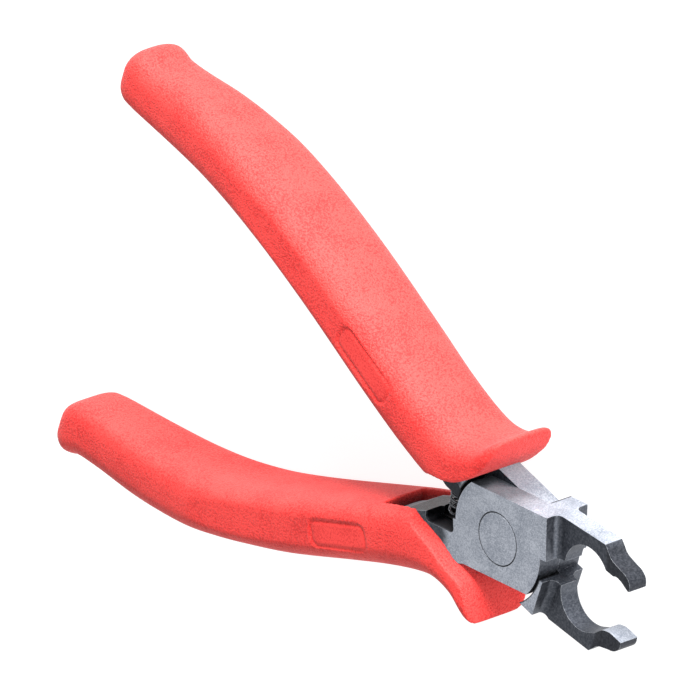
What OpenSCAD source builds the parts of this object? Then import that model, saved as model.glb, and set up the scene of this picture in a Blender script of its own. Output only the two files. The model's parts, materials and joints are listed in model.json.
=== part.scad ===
// Crimping pliers for jewellery work: two forged halves lapped on a flush rivet,
// moulded grips on the tangs and a small coil spring that opens them.
// The pliers lie flat, the rivet upright along Z and the jaws towards +X.
// Each half is drawn once, in its closed place, with its jaw at +Y and its tang at -Y.

/* [Joint] */
// Thickness of the joint, front face to back face
joint_t = 9.8; // [8:0.1:12]
// Angle from closed to fully open, both halves together
open_angle = 19; // [10:0.5:28]
// Radius of the round plate that each half lays over the other
plate_r = 11.3; // [10:0.1:12.4]
// Distance from the pivot to the jaw-side top edge of the plate
plate_top = 8.6; // [7:0.05:9.5]
// How much lower the rear half's back edge is ground, up to its shoulder
rear_grind = 0.9; // [0:0.05:1.2]
// Distance from the pivot to the straight bottom edge of the plate
plate_bottom = 8.05; // [7:0.05:9]
// Clearance between a plate's round end and the recess it turns in
recess_gap = 0.65; // [0.15:0.05:0.9]
// Running gap between the two plates, face to face
lap_gap = 0.06; // [0.02:0.01:0.1]
// Gap left between facing surfaces of the halves when closed
closed_gap = 0.24; // [0.1:0.02:0.5]

/* [Rivet] */
// Radius of the rivet's shank
rivet_r = 3.4; // [2.5:0.1:4]
// Radius of each flush rivet head
rivet_head_r = 5; // [4.4:0.1:6]
// Depth of each rivet head
rivet_head_t = 1.9; // [1:0.1:3]
// Radial running clearance of the rivet in the front half
rivet_gap = 0.05; // [0.02:0.01:0.1]
// Bevel round the rim of each rivet head and its seat
rivet_bevel = 0.12; // [0.05:0.01:0.2]

/* [Jaws] */
// Thickness of the narrow part of the jaws
jaw_t = 4; // [3:0.1:5]
// Distance from the pivot to the shoulder where the jaws narrow
shoulder_x = 12.8; // [12.4:0.1:14]
// Radius of the fillet at the foot of the shoulder
shoulder_fillet = 1.3; // [0.5:0.1:2]
// Distance from the pivot to the centre of the round opening
opening_x = 20.5; // [19:0.1:22]
// Radius of the round opening between the jaws
opening_r = 5.75; // [4:0.05:6]
// How far the centre of each jaw's round opening lies past the closed line
opening_drop = 0.7; // [0:0.1:1.5]
// Distance from the pivot to the corner where the jaw's nose begins
jaw_l = 25.2; // [24.6:0.1:28]
// Width of the jaw's back at that corner
jaw_end_y = 7.1; // [6.4:0.05:8]
// Length of the hooked nose in front of that corner
nose_l = 6.6; // [5.8:0.1:8]

/* [Tangs] */
// Distance from the pivot to the end of the tang inside its grip
tang_l = 104; // [80:1:112]
// Width of the tang inside the grip
tang_w = 7.4; // [5:0.1:9]
// Thickness of the tang inside the grip
tang_t = 8; // [5:0.1:9]
// Depth of the forged hollow beside each tang's inner edge
hollow_depth = 3.6; // [2:0.1:4]
// Depth of the unground relief on the other side of that edge
relief_depth = 0.5; // [0.2:0.1:1.5]
// Length of the forged hollow, from the plate's round end
hollow_l = 8; // [5:0.5:10]
// Distance from the closed line to the hollow's outer side
hollow_w = 3.1; // [2.4:0.1:4]
// Radius of the hollow's corners
hollow_corner = 0.9; // [0.4:0.1:1.2]
// Slope of the tang's inner face away from the closed line
crotch_angle = 17; // [14:0.5:22]

/* [Grips] */
// Distance from the pivot to the end of the grip
grip_l = 118.5; // [110:0.5:132]
// Thickness of the grip at its fullest
grip_t = 18.7; // [15:0.1:22]
// Width of the grip across its middle
grip_w = 12.6; // [11:0.1:15]
// Squareness of the grip's section: 2 is an oval, larger is boxier
grip_square = 2.7; // [2.2:0.1:4]
// Height cut off each side of the section to leave a flat face
grip_flat = 0.35; // [0.2:0.05:0.6]
// Distance from the closed line to the grip's outer side at its waist
waist_w = 13.2; // [12.6:0.1:14.5]
// How far the thumb guard stands out past the grip's waist
guard_h = 4.9; // [3:0.1:6]
// Squareness of the thumb guard's section
guard_square = 5; // [3:0.1:7]
// How far the hook at the grip's end stands out past its outer side
hook_h = 1; // [0:0.1:2]
// How far the slot in the grip's inner side reaches back from the pivot
slot_x = 29; // [24:0.5:34]
// Clearance of the tang in its grip
grip_gap = 0.05; // [0.02:0.01:0.1]

/* [Spring] */
// Distance from the pivot to the spring's seats, along each half
spring_x = 16.8; // [15.5:0.1:19]
// Diameter of the spring wire
wire_d = 0.55; // [0.4:0.05:0.7]
// Outside diameter of the spring
spring_d = 2.9; // [2.4:0.1:3.2]
// Number of turns
spring_turns = 8; // [5:1:9]
// Depth of each spring seat below the tang's inner face
seat_depth = 2.2; // [1.5:0.1:3]
// Diameter of each spring seat
seat_d = 4; // [3.8:0.1:4.4]

/* [Hidden] */

STEEL = [0.66, 0.68, 0.71];
RED = [0.93, 0.24, 0.22];
WIRE = [0.8, 0.81, 0.83];
$fn = 96;
far = 60;           // longer than any cut needs to be
eps = 0.01;         // overlap that joins two stacked solids
half_open = open_angle / 2;
mate_y = closed_gap / 2;
recess_r = plate_r + recess_gap;
half_t = joint_t / 2;

// A unit step along an angle, and a point on a circle
function dir(a) = [cos(a), sin(a)];
function on_circle(c, r, a) = c + r * dir(a);
function arc(c, r, a0, a1, n) = [for (i = [0:n]) on_circle(c, r, a0 + (a1 - a0) * i / n)];
// A smooth curve through a list of points, each of any length, as n steps a span
function spline_at(p, i, t) =
    let (m = len(p) - 1,
         a = p[max(i - 1, 0)], b = p[i], c = p[min(i + 1, m)], d = p[min(i + 2, m)])
    0.5 * (2 * b + (c - a) * t + (2 * a - 5 * b + 4 * c - d) * t * t
           + (3 * b - 3 * c + d - a) * t * t * t);
function spline(p, n) =
    concat([for (i = [0:len(p) - 2], k = [0:n - 1]) spline_at(p, i, k / n)], [p[len(p) - 1]]);

// ---- Jaw outlines --------------------------------------------------------
opening_c = [opening_x, -opening_drop];
tip_x = jaw_l + nose_l;
corner = [jaw_l, jaw_end_y];
tip = [tip_x, mate_y];
// Angles at the opening's centre: at the closed line, and where each nose begins
closed_turn = 180 - asin((mate_y + opening_drop) / opening_r);
hook_turn = 30;
pad_turn = 53;
// Outer side of the nose, hollow behind the tip and round at the tip
nose_outer = spline([
    corner, corner + [0.7, -1], corner + [1.7, -2.35], [tip_x - 2.7, jaw_end_y - 3.45],
    [tip_x - 1.3, jaw_end_y - 4.05], tip + [-0.4, 2.1], tip + [0, 1.1], tip + [-0.1, 0]], 5);
// Inner side of the nose on the front jaw, hollow behind its hooked tip
hook_inner = spline([
    tip + [-0.5, 0], tip + [-1.3, 0.55], tip + [-2.3, 1.25], tip + [-3.5, 1.7], tip + [-4.4, 1.55]], 4);
// Inner side of the nose on the rear jaw, with the pad that presses into the hook
pad_inner = spline([
    tip + [-0.3, 0], tip + [-1.6, 0], tip + [-2.9, 0.04], tip + [-3.8, 0.28], tip + [-5.1, 1],
    tip + [-6.5, 2.8]], 4);

module jaw_outline(inner, turn) {
    polygon(concat(
        [[0, mate_y], [0, plate_top], [shoulder_x, plate_top]], nose_outer, inner,
        arc(opening_c, opening_r, turn, closed_turn, 40)));
}

// ---- Tang outline --------------------------------------------------------
crotch_x = spring_x - 1.3;             // where the inner face leaves the closed line
crotch_end = [-slot_x + 3.4, -mate_y - (slot_x - 3.4 - crotch_x) * tan(crotch_angle)];
// Middle line of the grip and tang, from the end to the waist
grip_middle = spline([
    [-grip_l, -19.9], [-106, -20.7], [-94, -21.6], [-82, -21.4], [-70, -19.8],
    [-56, -16.7], [-42, -12.8], [-30, -9.5], [-18, -6.8], [-4, -4.6]], 6);
function middle_y(x) = lookup(x, grip_middle);
tang_xs = [-30, -42, -54, -66, -78, -90, -tang_l + 2];

module tang_outline(grow = 0) {
    inner = [for (x = tang_xs) [x, middle_y(x) + tang_w / 2 + grow]];
    outer = [for (i = [len(tang_xs) - 1:-1:0])
        [tang_xs[i], middle_y(tang_xs[i]) - tang_w / 2 - grow]];
    tip_y = middle_y(-tang_l);
    tip = [for (side = [1, -1]) [-tang_l - grow, tip_y + side * tang_w / 4]];
    polygon(concat(
        [[0, -mate_y + grow], [-crotch_x, -mate_y + grow], crotch_end + [0, grow]],
        inner, tip, outer,
        [[-14, -plate_bottom - 1.4 - grow], [-9, -plate_bottom - grow], [0, -plate_bottom - grow]]));
}

// ---- One forged half -----------------------------------------------------
module plate_outline() {
    intersection() {
        circle(r = plate_r);
        polygon([[-far, -plate_bottom], [far, -plate_bottom], [far, plate_top],
                 [shoulder_x, plate_top], [-far, plate_top]]);
    }
}

// Takes the jaw's side down to its narrow thickness, with a round foot
module jaw_side_cut() {
    edge_x = shoulder_x + shoulder_fillet;
    floor_z = jaw_t / 2 + shoulder_fillet;
    translate([edge_x, -far / 2, jaw_t / 2]) cube([far, far, far]);
    translate([shoulder_x, -far / 2, floor_z]) cube([far, far, far]);
    translate([edge_x, far / 2, floor_z]) rotate([90, 0, 0]) cylinder(r = shoulder_fillet, h = far);
}

// The hollow forged beside the tang's inner edge
module hollow_cut() {
    left = plate_r + hollow_l;
    linear_extrude(far) offset(r = hollow_corner) offset(delta = -hollow_corner) difference() {
        translate([-left, -hollow_w]) square([left, far]);
        circle(r = recess_r);
    }
}

module half_blank(inner, turn) {
    // The layer that holds the round plate, at +Z
    translate([0, 0, lap_gap / 2]) linear_extrude(half_t - lap_gap / 2) {
        plate_outline();
        joined_outline(inner, turn);
    }
    // The layer hollowed out for the other half's plate, at -Z
    translate([0, 0, -half_t]) linear_extrude(half_t + lap_gap / 2 + eps) difference() {
        joined_outline(inner, turn);
        circle(r = recess_r);
    }
}

module joined_outline(inner, turn) {
    difference() {
        union() {
            jaw_outline(inner, turn);
            tang_outline();
        }
        // keeps the mating side of the jaw's root outside the other plate's circle
        translate([0, -far]) square([plate_r, far - plate_bottom]);
    }
}

module half_body(inner, turn) {
    difference() {
        half_blank(inner, turn);
        jaw_side_cut();
        mirror([0, 0, 1]) jaw_side_cut();
        translate([0, 0, half_t - hollow_depth]) hollow_cut();
        mirror([0, 0, 1]) translate([0, 0, half_t - relief_depth]) hollow_cut();
        tang_side_cut();
        mirror([0, 0, 1]) tang_side_cut();
        spring_seat();
    }
}

// Takes the tang down to its thickness inside the grip
module tang_side_cut() {
    translate([-tang_l - 5, -far, tang_t / 2]) cube([tang_l + 5 - slot_x - 2, 2 * far, far]);
}

module spring_seat() {
    translate([-spring_x, seat_floor_y, 0]) rotate([-90, 0, 0]) cylinder(d = seat_d, h = far);
}

seat_face_y = -mate_y - (spring_x - crotch_x) * tan(crotch_angle);
seat_floor_y = seat_face_y - seat_depth;

// Hole for one rivet head with its bevelled rim, open at +Z
module rivet_seat(gap) {
    seat_floor = half_t - rivet_head_t - gap;
    translate([0, 0, seat_floor]) cylinder(r = rivet_head_r + gap, h = far);
    translate([0, 0, half_t - rivet_bevel])
        cylinder(r1 = rivet_head_r + gap, r2 = rivet_head_r + gap + 2 * rivet_bevel, h = 2 * rivet_bevel);
}

module rivet_bore(gap) {
    translate([0, 0, -far]) cylinder(r = rivet_r + gap, h = 2 * far);
    rivet_seat(gap);
}

// ---- Grips ---------------------------------------------------------------
// Stations along the grip: inner point, outer point and half thickness there
function station(x, w, t, hook = 0) =
    [x, middle_y(x) + w / 2, x, middle_y(x) - w / 2 - hook, t / 2, grip_square];
grip_stations = spline([
    station(-grip_l, grip_w * 0.6, grip_t * 0.44, hook_h * 0.5),
    station(-grip_l + 0.8, grip_w * 0.83, grip_t * 0.6, hook_h * 0.9),
    station(-grip_l + 3.5, grip_w, grip_t * 0.69, hook_h),
    station(-grip_l + 7.5, grip_w * 1.02, grip_t * 0.7, hook_h * 0.2),
    station(-grip_l + 12, grip_w * 1.03, grip_t * 0.72),
    station(-98, grip_w * 1.02, grip_t * 0.8), station(-90, grip_w * 0.975, grip_t * 0.88),
    station(-82, grip_w * 0.94, grip_t * 0.95), station(-74, grip_w * 0.92, grip_t * 0.99),
    station(-66, grip_w * 0.93, grip_t), station(-54, grip_w * 0.985, grip_t * 0.99),
    station(-38, grip_w * 0.99, grip_t * 0.99), station(-28, grip_w * 1.01, grip_t * 0.96),
    [-22, -1.45, -19.3, -waist_w - 0.5, grip_t * 0.475, grip_square],
    [-18, -0.95, -13.6, -waist_w, grip_t * 0.47, grip_square + 0.4],
    [-13.5, 0.5, -8.9, -waist_w - guard_h * 0.43, grip_t * 0.455, guard_square * 0.8],
    [-9, 1.4, -5.7, -waist_w - guard_h, grip_t * 0.42, guard_square],
    [-3, 1.6, -2.2, -waist_w - guard_h, grip_t * 0.36, guard_square]], 4);

// Section of the grip: a squared oval round the middle of one station
section_n = 28;
function signed_pow(v, e) = sign(v) * pow(abs(v), e);
function section(s) = [for (i = [0:section_n - 1])
    let (a = 360 * i / section_n,
         u = signed_pow(cos(a), 2 / s[5]), v = signed_pow(sin(a), 2 / s[5]))
    [(s[0] + s[2]) / 2 + u * (s[0] - s[2]) / 2, (s[1] + s[3]) / 2 + u * (s[1] - s[3]) / 2, v * s[4]]];

module loft(rings) {
    n = len(rings[0]);
    m = len(rings);
    sides = [for (j = [0:m - 2], i = [0:n - 1])
        [j * n + i, j * n + (i + 1) % n, (j + 1) * n + (i + 1) % n, (j + 1) * n + i]];
    polyhedron(
        points = [for (r = rings, p = r) p],
        faces = concat([[for (i = [n - 1:-1:0]) i]], sides, [[for (i = [0:n - 1]) (m - 1) * n + i]]),
        convexity = 6);
}

// The mouth's edge, seen from above: on each grip's face that lies up with the front
// plate, and on its face that lies down
front_mouth = [[-22.5, 6], [-22.3, -1], [-20.6, -2.5], [-17.5, -3.9], [-14.5, -5.4], [-11.6, -7.6],
               [-9, -9.2], [-7, -10.8]];
rear_mouth = [[-19.5, 6], [-19.3, -1.2], [-16.5, -3.2], [-14, -4.1], [-11.6, -5.2], [-9.4, -7.1],
              [-7.6, -9.3], [-7, -10.8]];
under_mouth = [[-19.5, 6], [-19.2, -0.6], [-14, -3.1], [-11, -5], [-8.9, -7.4], [-7, -10.8]];
guard_front = [[-6, -12.6], [-5.4, -14.8], [-5.2, -16.6], [-5.2, -far / 2], [far, -far / 2], [far, 6]];

// The space in front of the grip's mouth, on its +Z side and on its -Z side
module mouth_cut(edge, edge_below) {
    linear_extrude(far) polygon(concat(edge, guard_front));
    mirror([0, 0, 1]) linear_extrude(far) polygon(concat(edge_below, guard_front));
}

// Everything the metal half needs inside its grip, with its clearance
module grip_cavity() {
    translate([0, 0, -half_t - grip_gap]) linear_extrude(joint_t + 2 * grip_gap) {
        difference() {
            tang_outline(grip_gap);
            translate([-tang_l - 5, -far]) square([tang_l + 5 - slot_x - 2 - grip_gap, 2 * far]);
        }
        // slot through the grip's inner side, back to where the tang narrows
        polygon([[-slot_x, middle_y(-slot_x)], [-slot_x, 4], [0, 4], [0, -plate_bottom],
                 [-12, -plate_bottom + 1]]);
        circle(r = recess_r + 0.2);
    }
    translate([0, 0, -tang_t / 2 - grip_gap]) linear_extrude(tang_t + 2 * grip_gap) tang_outline(grip_gap);
}

module grip_body(edge, edge_below) {
    flat_z = grip_t / 2 - grip_flat;
    difference() {
        intersection() {
            loft([for (s = grip_stations) section(s)]);
            translate([-grip_l - 5, -far, -flat_z]) cube([grip_l + 10, 2 * far, 2 * flat_z]);
        }
        mouth_cut(edge, edge_below);
        grip_cavity();
    }
}

// ---- Spring --------------------------------------------------------------
// Half the spring's length when fully open, from the seats' places at that angle
spring_end = rotated([-spring_x, seat_floor_y + 0.25], half_open);
function rotated(p, a) = [p[0] * cos(a) - p[1] * sin(a), p[0] * sin(a) + p[1] * cos(a)];
spring_half = -spring_end[1];
ring_sides = 8;
turn_steps = 16;

module coil() {
    r = (spring_d - wire_d) / 2;
    rise = 2 * spring_half - wire_d;
    steps = spring_turns * turn_steps;
    loft([for (k = [0:steps])
        let (a = 360 * k / turn_steps, y = -rise / 2 + rise * k / steps)
        [for (i = [0:ring_sides - 1])
            let (b = 360 * i / ring_sides, q = r + wire_d / 2 * cos(b))
            [q * cos(a), y + wire_d / 2 * sin(b), q * sin(a)]]]);
}

// ---- Places --------------------------------------------------------------
// The frame's origin is the middle of the footprint, on the surface under the grips
function ends_of(s) = [rotated([s[0], s[1]], half_open)[0], rotated([s[2], s[3]], half_open)[0]];
grip_xs = [for (s = grip_stations) each ends_of(s)];
nose_xs = [for (p = nose_outer) rotated(p, half_open)[0]];
origin_x = (min(grip_xs) + max(nose_xs)) / 2;
rest_z = grip_t / 2 - grip_flat;

module placed() translate([-origin_x, 0, rest_z]) children();
module front_side() placed() rotate([0, 0, half_open]) children();
module rear_side() placed() rotate([0, 0, -half_open]) rotate([180, 0, 0]) children();

module front_half() {
    color(STEEL) front_side() difference() {
        half_body(hook_inner, hook_turn);
        rivet_bore(rivet_gap);
    }
}

module rear_half() {
    color(STEEL) rear_side() difference() {
        half_body(pad_inner, pad_turn);
        rivet_bore(0);
        translate([0, 0, -far]) linear_extrude(2 * far) rear_ground_away();
    }
}

// The strip ground off the rear half's back edge, running out on the jaw
module rear_ground_away() {
    ground_y = plate_top - rear_grind;
    polygon([[-far, ground_y], [shoulder_x, ground_y],
             [shoulder_x + 1.5 * shoulder_fillet, plate_top], [shoulder_x, far], [-far, far]]);
}

module pivot_rivet() {
    color(STEEL) placed() {
        translate([0, 0, -half_t]) cylinder(r = rivet_r, h = joint_t);
        for (side = [0, 1]) mirror([0, 0, side]) {
            translate([0, 0, half_t - rivet_head_t])
                cylinder(r = rivet_head_r, h = rivet_head_t - rivet_bevel);
            translate([0, 0, half_t - rivet_bevel])
                cylinder(r1 = rivet_head_r, r2 = rivet_head_r - rivet_bevel, h = rivet_bevel);
        }
    }
}

module front_grip() { color(RED) front_side() grip_body(front_mouth, under_mouth); }
module rear_grip() { color(RED) rear_side() grip_body(under_mouth, rear_mouth); }
module return_spring() { color(WIRE) placed() translate([spring_end[0], 0, 0]) coil(); }

front_half();
rear_half();
pivot_rivet();
front_grip();
rear_grip();
return_spring();
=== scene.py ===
"""Looks for the crimping pliers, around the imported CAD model.

The steel halves and the rivet are the CAD nodes with a bevel and a material. The two
grips and the spring are finer meshes that stand for their CAD nodes. A grip is drawn
once, in the closed place of its half (pivot at the origin, jaw at +Y, millimetres),
then put on each half.
"""
import json
import math

import bmesh
import bpy
from mathutils import Matrix, Vector
from mathutils.bvhtree import BVHTree


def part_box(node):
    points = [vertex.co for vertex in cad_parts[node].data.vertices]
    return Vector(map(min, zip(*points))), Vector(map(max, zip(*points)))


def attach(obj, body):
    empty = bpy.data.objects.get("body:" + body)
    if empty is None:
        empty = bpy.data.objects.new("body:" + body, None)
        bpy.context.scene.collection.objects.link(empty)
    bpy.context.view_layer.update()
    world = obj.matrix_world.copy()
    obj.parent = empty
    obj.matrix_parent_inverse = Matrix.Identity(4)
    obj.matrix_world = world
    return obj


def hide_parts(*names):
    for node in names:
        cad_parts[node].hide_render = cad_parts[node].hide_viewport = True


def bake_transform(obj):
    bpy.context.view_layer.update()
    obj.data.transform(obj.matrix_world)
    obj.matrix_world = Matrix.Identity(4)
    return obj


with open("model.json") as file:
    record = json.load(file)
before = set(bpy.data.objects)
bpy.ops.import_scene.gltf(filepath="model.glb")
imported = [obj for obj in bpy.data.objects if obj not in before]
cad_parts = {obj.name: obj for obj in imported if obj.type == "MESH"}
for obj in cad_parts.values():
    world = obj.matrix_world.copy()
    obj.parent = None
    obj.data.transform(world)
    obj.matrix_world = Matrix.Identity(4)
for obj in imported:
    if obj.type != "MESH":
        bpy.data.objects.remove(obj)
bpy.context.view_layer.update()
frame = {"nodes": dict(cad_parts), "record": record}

MM = 0.001
JOINT = frame["record"]["behaviour"]["joints"][0]
PIVOT = Vector(JOINT["pos_m"])
HALF_OPEN = math.radians(JOINT["range_deg"][1]) / 2


def half_matrix(front):
    """From a half's closed place in millimetres to the row frame at rest."""
    m = Matrix.Translation(PIVOT) @ Matrix.Rotation(HALF_OPEN if front else -HALF_OPEN, 4, "Z")
    if not front:
        m = m @ Matrix.Rotation(math.pi, 4, "X")
    return m @ Matrix.Scale(MM, 4)


# ---- Curves ------------------------------------------------------------------
def spline(points, steps):
    """A smooth curve through points of any length, with that many steps a span."""
    out = []
    last = len(points) - 1
    for i in range(last):
        a, b = points[max(i - 1, 0)], points[i]
        c, d = points[i + 1], points[min(i + 2, last)]
        for k in range(steps):
            t = k / steps
            out.append([0.5 * (2 * q + (r - p) * t + (2 * p - 5 * q + 4 * r - s) * t * t
                               + (3 * q - 3 * r + s - p) * t ** 3)
                        for p, q, r, s in zip(a, b, c, d)])
    out.append(list(points[-1]))
    return out


def lookup(x, table):
    """The second column of a table at x, between its rows."""
    for (x0, y0), (x1, y1) in zip(table, table[1:]):
        if x0 <= x <= x1:
            return y0 + (y1 - y0) * (x - x0) / (x1 - x0)
    return table[0][1] if x < table[0][0] else table[-1][1]


def smooth(t):
    t = min(max(t, 0), 1)
    return t * t * (3 - 2 * t)


# ---- The grip's shape, in millimetres ----------------------------------------
# Lengths along X are measured from the pivot, and Y from the line where the halves meet.
GRIP_END = -118.5       # the grip's end
GRIP_T = 18.7           # thickness at its fullest
GRIP_W = 12.6           # width across its middle
WAIST_Y = -13.2         # outer side at the waist
GUARD_H = 5.4           # the thumb guard's height past the waist
GUARD_SQUARE = 5        # squareness of the guard's section
JOINT_T = 9.8           # thickness of the steel where the grip's slot holds it
TANG_T = 8              # the tang inside the grip: thickness, width and end
TANG_W = 7.4
TANG_END = -104
TANG_START = -16        # where the tang's own space in the grip opens into the slot
PLATE_BOTTOM = 8.05     # the steel's outer side beside the joint
RECESS_R = 11.75        # the round that the grip leaves free for the other plate
SLOT_X = -29            # the slot's back end
FIT = 0.05              # clearance of the steel in the grip

MIDDLE = spline([(GRIP_END, -19.9), (-106, -20.7), (-94, -21.6), (-82, -21.4), (-70, -19.8),
                 (-56, -16.8), (-42, -12.95), (-30, -9.6), (-18, -6.8), (-4, -4.6)], 6)


def station(x, w, t, hook=0.0, sq=2.7):
    """One place along the grip: inner point, outer point, half thickness, squareness."""
    y = lookup(x, MIDDLE)
    return (x, y + w * GRIP_W / 2, x, y - w * GRIP_W / 2 - hook, t * GRIP_T / 2, sq)


STATIONS = spline([
    station(GRIP_END, 0.5, 0.42, -0.6, 2.7), station(GRIP_END + 0.9, 0.78, 0.59, -0.8, 2.8),
    station(GRIP_END + 2.8, 0.95, 0.68, -0.7, 2.9), station(GRIP_END + 4.8, 1.0, 0.7, -1.0),
    station(GRIP_END + 6.8, 1.02, 0.7, -1.7), station(GRIP_END + 12, 1.03, 0.72, -1.4),
    station(-98, 1.02, 0.8, -0.7), station(-90, 0.975, 0.88, -0.3), station(-82, 0.94, 0.95),
    station(-74, 0.92, 0.99), station(-66, 0.93, 1), station(-54, 0.985, 0.99),
    station(-38, 0.99, 0.99), station(-28, 1.01, 0.96),
    (-22, -1.45, -19.3, WAIST_Y - 0.5, GRIP_T * 0.475, 2.7),
    (-18, -0.95, -13.6, WAIST_Y, GRIP_T * 0.47, 3.1),
    (-13.5, 0.5, -8.9, WAIST_Y - GUARD_H * 0.33, GRIP_T * 0.455, GUARD_SQUARE * 0.8),
    (-9, 1.4, -5.7, WAIST_Y - GUARD_H, GRIP_T * 0.42, GUARD_SQUARE),
    (-3, 1.6, -2.2, WAIST_Y - GUARD_H - 0.2, GRIP_T * 0.36, GUARD_SQUARE)], 8)

RING = 80
INNER_SQUARE = 1.55     # the inner corners are tighter than the outer ones


def ring(s):
    """A squared oval round the middle of a station."""
    cx, cy = (s[0] + s[2]) / 2, (s[1] + s[3]) / 2
    hx, hy = (s[0] - s[2]) / 2, (s[1] - s[3]) / 2
    out = []
    for i in range(RING):
        a = math.tau * i / RING
        c, d = math.cos(a), math.sin(a)
        e = 2 / (s[5] * (1 + (INNER_SQUARE - 1) * smooth(0.5 + c)))
        u = math.copysign(abs(c) ** e, c)
        v = math.copysign(abs(d) ** e, d)
        out.append(Vector((cx + u * hx, cy + u * hy, v * s[4])))
    return out


def loft(rings):
    bm = bmesh.new()
    rows = [[bm.verts.new(p) for p in r] for r in rings]
    n = len(rings[0])
    for lower, upper in zip(rows, rows[1:]):
        for i in range(n):
            j = (i + 1) % n
            bm.faces.new((lower[i], lower[j], upper[j], upper[i]))
    bm.faces.new(list(reversed(rows[0])))
    bm.faces.new(rows[-1])
    bmesh.ops.recalc_face_normals(bm, faces=bm.faces)
    return bm


def prism(outline, z_low, z_high):
    bm = bmesh.new()
    low = [bm.verts.new((x, y, z_low)) for x, y in outline]
    high = [bm.verts.new((x, y, z_high)) for x, y in outline]
    n = len(outline)
    bm.faces.new(list(reversed(low)))
    bm.faces.new(high)
    for i in range(n):
        j = (i + 1) % n
        bm.faces.new((low[i], low[j], high[j], high[i]))
    bmesh.ops.recalc_face_normals(bm, faces=bm.faces)
    return bm


def as_object(bm, name):
    mesh = bpy.data.meshes.new(name)
    bm.to_mesh(mesh)
    bm.free()
    obj = bpy.data.objects.new(name, mesh)
    bpy.context.scene.collection.objects.link(obj)
    return obj


def applied(obj):
    """Replaces the object's mesh by what its modifiers make of it."""
    graph = bpy.context.evaluated_depsgraph_get()
    mesh = bpy.data.meshes.new_from_object(obj.evaluated_get(graph))
    old = obj.data
    obj.modifiers.clear()
    obj.data = mesh
    bpy.data.meshes.remove(old)


# Each mouth's edge is a short straight start, a curve along the steel and round the
# guard's front, then the whole space ahead of the grip.
GUARD_EDGE = [(-6, -12.6), (-5.4, -14.8), (-5.1, -16.6), (-5.0, -18.2)]
AHEAD = [(-5.2, -30), (60, -30), (60, 6)]


def mouth_edge(start, edge):
    return start + spline(edge + GUARD_EDGE, 3) + AHEAD


FRONT_MOUTH = mouth_edge([(-22.5, 6), (-22.3, -1)], [
    (-21.8, -1.6), (-20.3, -2.6), (-17.5, -3.9), (-14.5, -5.4), (-11.6, -7.6), (-9, -9.2),
    (-7, -10.6)])
REAR_MOUTH = mouth_edge([(-19.5, 6), (-19.3, -1.2)], [
    (-18.6, -1.9), (-16.5, -3.2), (-14, -4.1), (-11.6, -5.2), (-9.4, -7.1), (-7.6, -9.3),
    (-6.9, -10.6)])
UNDER_MOUTH = mouth_edge([(-19.5, 6), (-19.2, -0.6)], [
    (-18.4, -1.2), (-14, -3.1), (-11, -5), (-8.9, -7.4), (-7, -10.6)])
TANG_XS = [-30, -42, -54, -66, -78, -90, -102]


def tang_outline():
    """The tang's space inside the grip, with its clearance."""
    inner = [(x, lookup(x, MIDDLE) + TANG_W / 2 + FIT) for x in TANG_XS]
    outer = [(x, lookup(x, MIDDLE) - TANG_W / 2 - FIT) for x in reversed(TANG_XS)]
    y = lookup(TANG_END, MIDDLE)
    tip = [(TANG_END - FIT, y + TANG_W / 4), (TANG_END - FIT, y - TANG_W / 4)]
    return ([(TANG_START, -4.0), (-25.6, -4.3)] + inner + tip + outer
            + [(-14, -9.5), (-9, -8.1), (TANG_START, -8.1)])


SLOT = ([(SLOT_X - 2, lookup(SLOT_X, MIDDLE) + 3), (SLOT_X, 4), (0, 4), (0, -PLATE_BOTTOM),
         (-9, -PLATE_BOTTOM - FIT), (-14, -PLATE_BOTTOM - 1.4 - FIT),
         (-22, lookup(-22, MIDDLE) - 4.0), (-31, lookup(-31, MIDDLE) - 3.7)])
PLATE_ROUND = [(RECESS_R * math.cos(math.tau * i / 96), RECESS_R * math.sin(math.tau * i / 96))
               for i in range(96)]
FLAT_Z = GRIP_T / 2 - 0.35      # the grip's flat faces
CUTTER = 30                     # taller than any cut needs to be
VOXEL = 0.33                    # grid of the even mesh that the cuts are softened on
SOFT_STEPS = 7

# Where along the grip each difference between the two ends begins, and over what length
LENGTHEN = (-80, 36)
SKEW = (-100, 16)

# The blank label panel: its middle, half size, corner radius, slope and groove
BADGE = (-38.4, -11.9)
BADGE_SIZE = (7.5, 2.4)
BADGE_R = 1.5
BADGE_SLOPE = math.radians(15)
GROOVE_W = 0.4
GROOVE_D = 0.28
PANEL_SINK = 0.1
PANEL_XS = (-50, -26)           # the stretch of the grip that can hold it


def badge_distance(x, y):
    """Signed distance from the label panel's outline, inside negative."""
    c, s = math.cos(BADGE_SLOPE), math.sin(BADGE_SLOPE)
    u = (x - BADGE[0]) * c + (y - BADGE[1]) * s
    v = -(x - BADGE[0]) * s + (y - BADGE[1]) * c
    du = abs(u) - (BADGE_SIZE[0] - BADGE_R)
    dv = abs(v) - (BADGE_SIZE[1] - BADGE_R)
    return math.hypot(max(du, 0), max(dv, 0)) + min(max(du, dv), 0) - BADGE_R


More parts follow.
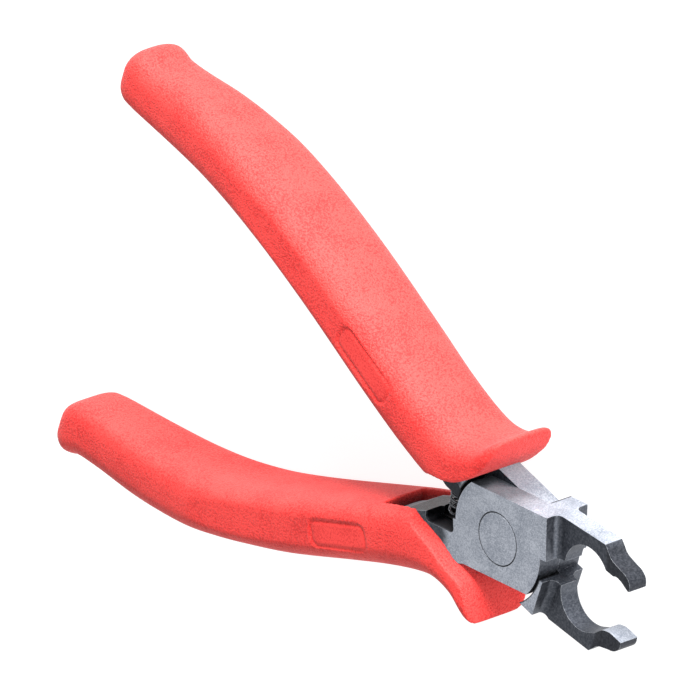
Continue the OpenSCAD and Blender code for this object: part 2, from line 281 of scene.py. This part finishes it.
def grip_mesh(longer, skew, mouth):
    """A grip's finished mesh in its closed place, with one mouth for its +Z face.

    longer is added to its length and skew slants its end. Two attributes come with the
    mesh: cut_depth, how far a point in the slot lies under the skin, and panel, 1 on
    the label panel.
    """
    body = loft([ring(s) for s in STATIONS])
    for v in body.verts:
        v.co.z = min(max(v.co.z, -FLAT_Z), FLAT_Z)
        aside = lookup(v.co.x, MIDDLE) - v.co.y
        v.co.x -= (longer * smooth((LENGTHEN[0] - v.co.x) / LENGTHEN[1])
                   + skew * aside * smooth((SKEW[0] - v.co.x) / SKEW[1]))
    skin = BVHTree.FromBMesh(body)
    obj = as_object(body, "grip_blank")
    deep_z, tang_z = JOINT_T / 2 + FIT, TANG_T / 2 + FIT
    cutters = [as_object(prism(*cut), "cutter") for cut in (
        (mouth, 0, CUTTER), (UNDER_MOUTH, -CUTTER, 0), (SLOT, -deep_z, deep_z),
        (PLATE_ROUND, -deep_z, deep_z), (tang_outline(), -tang_z, tang_z))]
    for c in cutters:
        cut = obj.modifiers.new("cut", "BOOLEAN")
        cut.operation, cut.solver, cut.object = "DIFFERENCE", "EXACT", c
    remesh = obj.modifiers.new("even", "REMESH")
    remesh.mode, remesh.voxel_size = "VOXEL", VOXEL
    relax = obj.modifiers.new("soft", "SMOOTH")
    relax.factor, relax.iterations = 0.5, SOFT_STEPS
    applied(obj)
    for c in cutters:
        bpy.data.objects.remove(c)
    mesh = obj.data
    depth = mesh.attributes.new("cut_depth", "FLOAT", "POINT")
    panel = mesh.attributes.new("panel", "FLOAT", "POINT")
    for v in mesh.vertices:
        in_slot = abs(v.co.z) < JOINT_T / 2 + 0.5 and v.co.x < -10 and v.co.y > -9.5
        depth.data[v.index].value = skin.find_nearest(v.co)[3] if in_slot else 0
        if abs(v.co.z) > FLAT_Z * 0.62 and PANEL_XS[0] < v.co.x < PANEL_XS[1]:
            d = badge_distance(v.co.x, v.co.y)
            sink = GROOVE_D * max(0, 1 - (d / GROOVE_W) ** 2) + PANEL_SINK * smooth(-d / 0.5)
            v.co.z -= math.copysign(sink, v.co.z)
            panel.data[v.index].value = smooth(-d / 0.4)
    for p in mesh.polygons:
        p.use_smooth = True
    bpy.data.objects.remove(obj)
    return mesh


# ---- Materials ----------------------------------------------------------------
IN_MM = (1000, 1000, 1000)


class Nodes:
    """Short names for building a material's nodes."""

    def __init__(self, name):
        self.mat = bpy.data.materials.new(name)
        self.mat.use_nodes = True
        self.tree = self.mat.node_tree
        self.shader = self.tree.nodes["Principled BSDF"]

    def put(self, socket, value):
        if isinstance(value, bpy.types.NodeSocket):
            self.tree.links.new(value, socket)
        else:
            socket.default_value = value

    def node(self, kind, *inputs, **settings):
        n = self.tree.nodes.new(kind)
        for key, value in settings.items():
            setattr(n, key, value)
        for i, value in enumerate(inputs):
            if value is not None:
                self.put(n.inputs[i], value)
        return n

    def math(self, op, a, b=None, c=None):
        return self.node("ShaderNodeMath", a, b, c, operation=op).outputs[0]

    def plus(self, a, b):
        return self.math("ADD", a, b)

    def minus(self, a, b):
        return self.math("SUBTRACT", a, b)

    def times(self, a, b):
        return self.math("MULTIPLY", a, b)

    def most(self, a, b):
        return self.math("MAXIMUM", a, b)

    def size(self, a):
        return self.math("ABSOLUTE", a)

    def vmath(self, op, a, b=None):
        return self.node("ShaderNodeVectorMath", a, b, operation=op)

    def ramp(self, value, low, high, out_low=0.0, out_high=1.0):
        """A smooth step of value from low to high."""
        return self.node("ShaderNodeMapRange", value, low, high, out_low, out_high,
                         interpolation_type="SMOOTHSTEP").outputs[0]

    def mix(self, factor, a, b):
        n = self.tree.nodes.new("ShaderNodeMix")
        n.data_type = "RGBA"
        self.put(n.inputs[0], factor)
        self.put(n.inputs[6], a)
        self.put(n.inputs[7], b)
        return n.outputs[2]

    def noise(self, vector, scale, detail=3.0, rough=0.55, distortion=0.0):
        return self.node("ShaderNodeTexNoise", vector, None, scale, detail, rough, None, None, None,
                         distortion).outputs[0]

    def stretch(self, vector, scale):
        return self.vmath("MULTIPLY", vector, scale).outputs[0]

    def bump(self, height, strength, distance, normal=None):
        return self.node("ShaderNodeBump", strength, distance, None, height, normal).outputs[0]

    def place_mm(self):
        """Position in the row frame, in millimetres."""
        texture = self.tree.nodes.new("ShaderNodeTexCoord")
        return self.stretch(texture.outputs["Object"], IN_MM)

    def closed_place(self, front):
        """Position in millimetres and normal in the half's closed place."""
        texture = self.tree.nodes.new("ShaderNodeTexCoord")
        moved = self.vmath("SUBTRACT", texture.outputs["Object"], tuple(PIVOT)).outputs[0]
        turned = []
        for vector in (self.stretch(moved, IN_MM), texture.outputs["Normal"]):
            turn = self.node("ShaderNodeVectorRotate", vector, rotation_type="Z_AXIS")
            turn.inputs["Angle"].default_value = -HALF_OPEN if front else HALF_OPEN
            out = turn.outputs[0]
            turned.append(out if front else self.stretch(out, (1, -1, -1)))
        return turned

    def axes(self, vector):
        return self.node("ShaderNodeSeparateXYZ", vector).outputs


def rgba(r, g, b):
    return (r, g, b, 1)


GROUND = rgba(0.34, 0.375, 0.445)
GROUND_LIGHT = rgba(0.65, 0.685, 0.76)
FORGED = rgba(0.06, 0.067, 0.083)
FORGED_LIGHT = rgba(0.14, 0.15, 0.175)
# near black, for the darker nose and for the painted shade in the hollow and on the recess wall
NEAR_BLACK = rgba(0.012, 0.012, 0.014)
# light steel for rubbed edges and for painted highlights
WORN_AND_HIGHLIGHT = rgba(0.5, 0.52, 0.56)
RIM = rgba(0.1, 0.105, 0.12)
RECESS_WALL = 11.95     # radius of the wall that the other plate turns in
RIVET_R = 5.0           # radius of the rivet's head
FACE_Z = (4.5, 4.75)    # from here to here the joint's face begins
JAW_EDGE_Y = (6.7, 6.95)        # the same for the ground edge beside the jaw
TANG_EDGE_Y = (-7.6, -7.8)      # and for the one beside the tang


def ground_colour(n, place):
    """Ground steel: cloudy grey with a fine speckle and faint drag lines."""
    cloud = n.noise(place, 0.22, 4, 0.55)
    speckle = n.noise(place, 3.4, 3, 0.8)
    drag = n.noise(n.stretch(place, (0.35, 5.5, 5.5)), 1.2, 3, 0.6)
    tone = n.plus(n.times(cloud, 0.25),
                  n.plus(n.times(speckle, 0.6), n.times(drag, 0.15)))
    return n.mix(n.ramp(tone, 0.39, 0.61), GROUND, GROUND_LIGHT), tone, drag, speckle


def ground_roughness(n, tone):
    return n.ramp(tone, 0.3, 0.7, 0.42, 0.54)


def rivet_line(n, place):
    """The dark line round the rivet's head, and the distance from the pivot."""
    radius = n.vmath("LENGTH", n.stretch(place, (1, 1, 0))).outputs["Value"]
    return n.ramp(n.size(n.minus(radius, RIVET_R)), 0.14, 0.07), radius


def edge_wear_and_highlight(n, tone):
    """A thin broken light line along the edges: partly dark skin rubbed off, partly a painted
    highlight.
    """
    rounded = n.node("ShaderNodeBevel", 0.00016, samples=4).outputs[0]
    plain = n.tree.nodes.new("ShaderNodeNewGeometry").outputs["Normal"]
    turn = n.vmath("DOT_PRODUCT", rounded, plain).outputs["Value"]
    edge = n.ramp(turn, 0.985, 0.9)
    return n.times(edge, n.ramp(tone, 0.38, 0.55, 0.25, 0.9))


def steel(name, front):
    """A forged half: its faces and straight edges ground bright, the rest left dark."""
    n = Nodes(name)
    place, normal = n.closed_place(front)
    x, y, z = n.axes(place)
    nx, ny, nz = n.axes(normal)
    ground, tone, drag, speckle = ground_colour(n, place)
    flat_face = n.times(n.ramp(n.size(nz), 0.8, 0.92), n.ramp(n.size(z), *FACE_Z))
    # the back end of each face keeps its forged skin, with a ragged edge
    ragged = n.plus(x, n.times(n.noise(place, 0.8, 3, 0.6), 2.2))
    skin_x = n.node("ShaderNodeMapRange", z, -0.1, 0.1, -10.8, -13.2).outputs[0]
    flat_face = n.times(flat_face, n.ramp(n.minus(ragged, skin_x), -0.6, 1.4))
    jaw_edge = n.times(n.ramp(ny, 0.75, 0.9), n.ramp(y, *JAW_EDGE_Y))
    tang_edge = n.times(n.ramp(ny, -0.75, -0.9), n.ramp(y, *TANG_EDGE_Y))
    bright = n.most(flat_face, n.most(jaw_edge, tang_edge))
    if not front:
        # the pad that presses into the other jaw's hook
        pad = n.times(n.times(n.ramp(x, 26.2, 26.6), n.ramp(y, 1.6, 1.2)), n.ramp(ny, -0.6, -0.8))
        bright = n.most(bright, n.times(pad, 0.75))
    scale_noise = n.noise(place, 2.3, 4, 0.6)
    strike = n.noise(n.stretch(place, (4.0, 0.5, 0.8)), 1.6, 4, 0.65)
    dark_tone = n.plus(n.times(scale_noise, 0.6), n.times(strike, 0.4))
    dark = n.mix(n.ramp(dark_tone, 0.38, 0.68), FORGED, FORGED_LIGHT)
    # the nose is darker, and the jaw's root gets a painted highlight: a little lighter on its faces
    # towards +X
    dark = n.mix(n.times(n.ramp(x, 25.2, 26.0), 0.5), dark, NEAR_BLACK)
    dark = n.mix(n.times(n.ramp(nx, 0.5, 0.9), n.ramp(x, 16, 15, 0.0, 0.06)), dark, WORN_AND_HIGHLIGHT)
    # painted shade: the edge that faces +Y at rest is darker towards the grip
    if front:
        shade = n.minus(1.0, n.times(jaw_edge, n.ramp(x, 1, 9, 0.6, 0.1)))
    else:
        shade = n.minus(1.0, n.times(tang_edge, n.ramp(x, -12, 4, 0.55, 0.22)))
    shade = n.node("ShaderNodeCombineXYZ", shade, shade, shade).outputs[0]
    ground = n.vmath("MULTIPLY", ground, shade).outputs[0]
    # the dark steel's edges are lightened: partly wear, partly a painted highlight
    colour = n.mix(bright, n.mix(edge_wear_and_highlight(n, dark_tone), dark, WORN_AND_HIGHLIGHT), ground)
    # painted shade: the hollow and the wall round the other plate are darkened towards near black,
    # as they lie in shade
    line, radius = rivet_line(n, place)
    hollow = n.times(n.ramp(n.size(z), 4.75, 4.2),
                     n.times(n.ramp(x, -10.6, -11.4), n.ramp(y, -3.5, -3.0)))
    wall = n.times(n.ramp(n.size(n.minus(radius, RECESS_WALL)), 0.3, 0.1), n.ramp(z, 0.3, -0.3))
    colour = n.mix(n.times(n.most(hollow, wall), 0.85), colour, NEAR_BLACK)
    colour = n.mix(n.times(line, n.ramp(n.size(z), 4.5, 4.7)), colour, RIM)
    n.put(n.shader.inputs["Base Color"], colour)
    n.put(n.shader.inputs["Metallic"], 1.0)
    rough_dark = n.ramp(dark_tone, 0.3, 0.7, 0.34, 0.52)
    n.put(n.shader.inputs["Roughness"], n.node(
        "ShaderNodeMapRange", bright, 0.0, 1.0, rough_dark, ground_roughness(n, tone)).outputs[0])
    fine = n.bump(n.plus(drag, speckle), 0.25, 0.00004)
    strength = n.minus(0.55, n.times(bright, 0.5))
    n.put(n.shader.inputs["Normal"], n.bump(dark_tone, strength, 0.00012, fine))
    return n.mat


def rivet_steel():
    """The rivet's ground heads, with the dark line round them."""
    n = Nodes("rivet_steel")
    place = n.closed_place(True)[0]
    ground, tone, drag, speckle = ground_colour(n, place)
    line = rivet_line(n, place)[0]
    n.put(n.shader.inputs["Base Color"], n.mix(line, ground, RIM))
    n.put(n.shader.inputs["Metallic"], 1.0)
    n.put(n.shader.inputs["Roughness"], ground_roughness(n, tone))
    n.put(n.shader.inputs["Normal"], n.bump(n.plus(drag, speckle), 0.25, 0.00004))
    return n.mat


VINYL = rgba(0.75, 0.036, 0.03)
VINYL_DEEP = rgba(0.58, 0.012, 0.01)
# painted shade for deep in the slot
VINYL_SLOT_SHADE = rgba(0.5, 0.008, 0.006)


def grip_vinyl():
    """Moulded vinyl: satin red, a fine pebbled grain, a ragged bump in the slot and painted shade
    deeper in it.
    """
    n = Nodes("grip_vinyl")
    place = n.place_mm()
    cloud = n.noise(place, 0.12, 3, 0.5)
    pebble = n.noise(place, 2.8, 2, 0.5, 0.4)
    pores = n.noise(place, 6.0, 2, 0.6)
    panel = n.node("ShaderNodeAttribute", attribute_name="panel").outputs["Fac"]
    grained = n.minus(1.0, n.times(panel, 0.8))
    deep = n.node("ShaderNodeAttribute", attribute_name="cut_depth").outputs["Fac"]
    slot_deep = n.ramp(deep, 0.5, 1.5)
    tone = n.plus(n.times(cloud, 0.3), n.times(pebble, 0.7))
    colour = n.mix(n.ramp(tone, 0.4, 0.54), VINYL_DEEP, VINYL)
    # painted shade: the red darkens deeper in the slot
    n.put(n.shader.inputs["Base Color"], n.mix(n.times(slot_deep, 0.8), colour, VINYL_SLOT_SHADE))
    n.put(n.shader.inputs["Roughness"], n.ramp(tone, 0.3, 0.7, 0.72, 0.6))
    n.put(n.shader.inputs["IOR"], 1.5)
    n.put(n.shader.inputs["Specular IOR Level"], 0.4)
    n.put(n.shader.inputs["Sheen Weight"], 0.08)
    n.put(n.shader.inputs["Sheen Roughness"], 0.45)
    grain = n.bump(pebble, n.times(grained, 0.8), 0.0003)
    fine = n.bump(pores, n.times(grained, 0.3), 0.00006, grain)
    rag = n.bump(n.noise(place, 2.4, 4, 0.7), n.times(slot_deep, 0.9), 0.0006, fine)
    n.put(n.shader.inputs["Normal"], rag)
    return n.mat


def spring_wire():
    """Thin drawn wire, dull with oil."""
    n = Nodes("spring_wire")
    place = n.place_mm()
    tone = n.noise(place, 3.0, 3, 0.6)
    n.put(n.shader.inputs["Base Color"], n.mix(n.ramp(tone, 0.35, 0.65), rgba(0.1, 0.105, 0.12),
                                               rgba(0.26, 0.265, 0.28)))
    n.put(n.shader.inputs["Metallic"], 1.0)
    n.put(n.shader.inputs["Roughness"], n.ramp(tone, 0.3, 0.7, 0.2, 0.34))
    n.put(n.shader.inputs["Normal"], n.bump(tone, 0.3, 0.00003))
    return n.mat


# ---- Steel parts: the CAD nodes -------------------------------------------------
for node_name, material, width in (
        ("front_half", steel("forged_steel", True), 0.16),
        ("rear_half", steel("forged_steel_rear", False), 0.16),
        ("pivot_rivet", rivet_steel(), 0.05)):
    piece = frame["nodes"][node_name]
    for material_slot in piece.material_slots:
        material_slot.material = material
    edge = piece.modifiers.new("edges", "BEVEL")
    edge.width, edge.segments, edge.limit_method = width * MM, 2, "ANGLE"
    edge.angle_limit = math.radians(35)
    edge.use_clamp_overlap = True
    edge.harden_normals = True

# ---- Grips -----------------------------------------------------------------------
vinyl = grip_vinyl()
for node_name, body, front, longer, skew, mouth in (
        ("front_grip", "front", True, 2.9, 0.34, FRONT_MOUTH),
        ("rear_grip", "rear", False, -1.3, 0.0, REAR_MOUTH)):
    mesh = grip_mesh(longer, skew, mouth)
    if not front:
        mesh.transform(Matrix.Scale(-1, 4, (0, 0, 1)))
        mesh.flip_normals()
    mesh.transform(half_matrix(front))
    mesh.materials.clear()
    mesh.materials.append(vinyl)
    grip = bpy.data.objects.new(node_name + "_moulding", mesh)
    bpy.context.scene.collection.objects.link(grip)
    grip.visible_glossy = False     # so that the steel stays grey beside it
    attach(grip, body)
    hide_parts(node_name)

# ---- Return spring -----------------------------------------------------------------
WIRE_R = 0.275 * MM
TURNS = 8
TURN_STEPS = 32
WIRE_SIDES = 12
END_PITCH = 0.14        # the share of the run that goes into the end turns
low, high = (Vector(corner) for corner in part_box("return_spring"))
centre = (low + high) / 2
coil_r = (high.x - low.x) / 2 - WIRE_R
run = (high.y - low.y) / 2 - WIRE_R
rings = []
for k in range(TURNS * TURN_STEPS + 1):
    turn = k / TURN_STEPS
    s = 2 * turn / TURNS - 1
    # the end turns lie a little wider apart than the ones between
    y = run * ((1 - END_PITCH) * s + END_PITCH * math.copysign(abs(s) ** 6, s))
    a = math.tau * turn
    out = Vector((math.cos(a), 0, math.sin(a)))
    middle = centre + out * coil_r + Vector((0, y, 0))
    rings.append([middle + out * (WIRE_R * math.cos(b)) + Vector((0, WIRE_R * math.sin(b), 0))
                  for b in (math.tau * i / WIRE_SIDES for i in range(WIRE_SIDES))])
coil = as_object(loft(rings), "spring_coil")
for p in coil.data.polygons:
    p.use_smooth = len(p.vertices) == 4
coil.data.materials.append(spring_wire())
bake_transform(coil)
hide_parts("return_spring")

# ---- Floor, light and camera ---------------------------------------------------------
bm = bmesh.new()
bmesh.ops.create_grid(bm, x_segments=1, y_segments=1, size=4)
floor = as_object(bm, "floor")
floor_material = Nodes("floor")
floor_material.shader.inputs["Base Color"].default_value = rgba(0.3, 0.3, 0.3)
floor_material.shader.inputs["Emission Color"].default_value = rgba(1, 1, 1)
floor_material.shader.inputs["Emission Strength"].default_value = 0.86
floor_material.shader.inputs["Roughness"].default_value = 0.9
floor_material.shader.inputs["Specular IOR Level"].default_value = 0.1
floor.data.materials.append(floor_material.mat)

world = bpy.data.worlds.new("studio")
world.use_nodes = True
world.node_tree.nodes["Background"].inputs[0].default_value = rgba(1, 1, 1)
world.node_tree.nodes["Background"].inputs[1].default_value = 0.62
bpy.context.scene.world = world
bpy.context.scene.view_settings.view_transform = "Standard"
bpy.context.scene.view_settings.look = "None"


def softbox(name, direction, distance, size, power):
    lamp = bpy.data.lights.new(name, "AREA")
    lamp.shape, lamp.size, lamp.size_y, lamp.energy = "RECTANGLE", size[0], size[1], power
    obj = bpy.data.objects.new(name, lamp)
    bpy.context.scene.collection.objects.link(obj)
    towards = Vector(direction).normalized()
    obj.location = towards * distance
    obj.rotation_euler = towards.to_track_quat("Z", "Y").to_euler()
    obj.visible_camera = False
    return obj


# the key stands low on the +Y side and the weak fill on the jaws' side
softbox("key", (0.12, 0.97, 0.21), 0.95, (1.6, 0.38), 42)
softbox("fill", (0.95, 0.1, 0.25), 0.95, (0.6, 0.6), 3.5)

# Where the camera stands round and above the pivot, and how far it is rolled on its side
AZIMUTH, ELEVATION, ROLL = math.radians(40), math.radians(37.5), math.radians(-108.5)
DISTANCE = 2.5
# How far right of and above the pivot the middle of the picture is
AIM_RIGHT, AIM_UP = -0.03, 0.0325
LENS = 720
lens = bpy.data.cameras.new("camera")
lens.lens, lens.sensor_width, lens.clip_start, lens.clip_end = LENS, 36, 0.01, 50
camera = bpy.data.objects.new("camera", lens)
bpy.context.scene.collection.objects.link(camera)
turn = (Matrix.Rotation(AZIMUTH + math.pi / 2, 4, "Z")
        @ Matrix.Rotation(math.pi / 2 - ELEVATION, 4, "X") @ Matrix.Rotation(ROLL, 4, "Z"))
camera.matrix_world = (Matrix.Translation(PIVOT) @ turn
                       @ Matrix.Translation((AIM_RIGHT, AIM_UP, DISTANCE)))
bpy.context.scene.camera = camera
